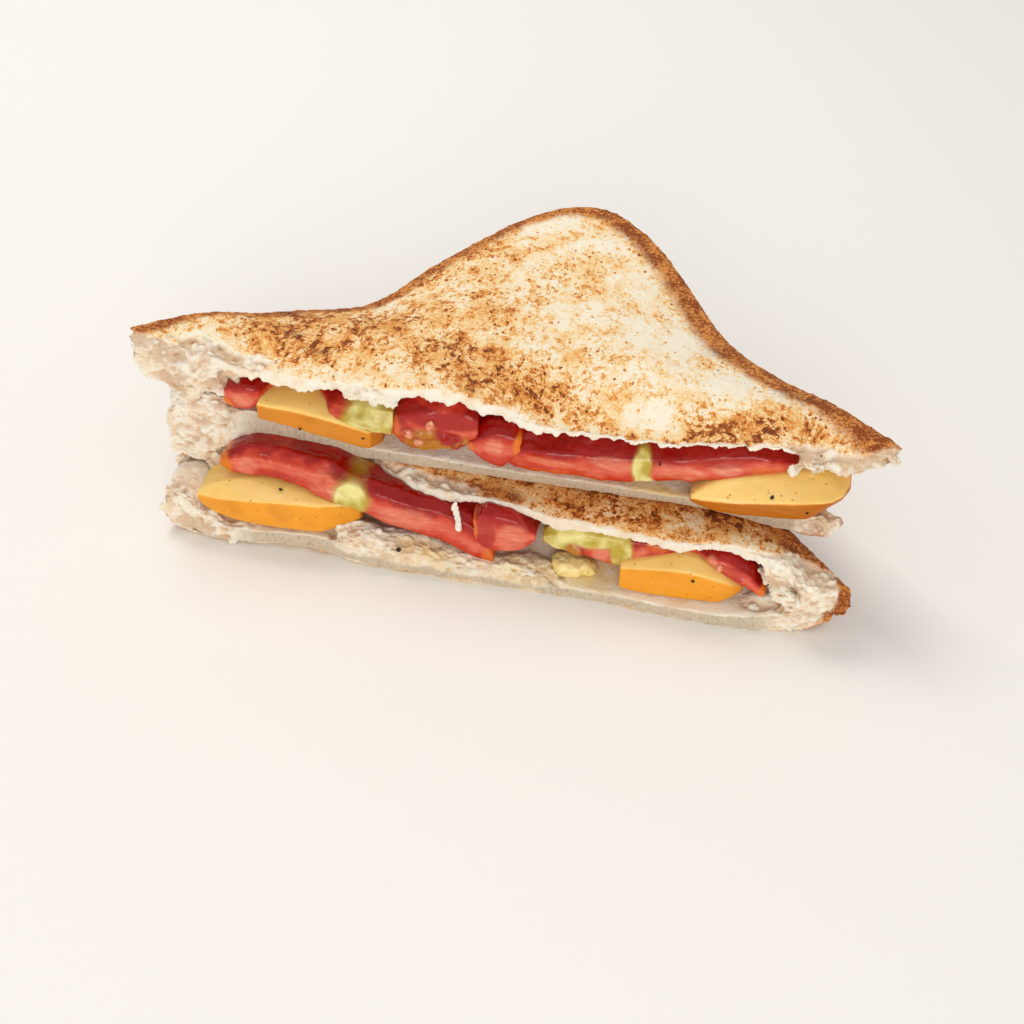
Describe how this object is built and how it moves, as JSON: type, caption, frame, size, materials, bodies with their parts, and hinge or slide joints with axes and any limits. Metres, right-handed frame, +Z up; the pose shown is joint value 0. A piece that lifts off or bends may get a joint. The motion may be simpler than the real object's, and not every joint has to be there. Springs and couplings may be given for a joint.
{
  "type": "toasted cheese and tomato sandwich",
  "caption": "Toasted white-bread sandwich with thick cheese and tomato, cut corner to corner, the halves stacked with their cut faces to the front.",
  "frame": {"origin": "centre of the bounding box in plan, at the underside that rests on the board", "axes": "+X along the diagonal cut, +Y from the cut faces back to the crust corner, +Z up through the stacked slices"},
  "size_m": [0.168, 0.0986, 0.0465],
  "materials": {
    "toasted_bread": "matte toasted white bread: pale crumb on the cut and torn faces, mottled golden to dark brown on the toasted faces, orange-brown crust",
    "cheese": "satin, slightly waxy and translucent orange-yellow cheese",
    "tomato": "wet and glossy red tomato flesh with pink fibres, pale green core and clear seed jelly"
  },
  "bodies": {
    "root": {"lower_bottom_bread": "toasted_bread", "lower_top_bread": "toasted_bread", "upper_bottom_bread": "toasted_bread", "upper_top_bread": "toasted_bread", "lower_cheese_left": "cheese", "lower_cheese_right": "cheese", "lower_cheese_scrap": "cheese", "upper_cheese_left": "cheese", "upper_cheese_right": "cheese", "lower_tomato_left": "tomato", "lower_tomato_chunk": "tomato", "lower_tomato_right": "tomato", "upper_tomato_left": "tomato", "upper_tomato_middle": "tomato", "upper_tomato_chunk": "tomato", "upper_tomato_right": "tomato"}
  },
  "joints": []
}
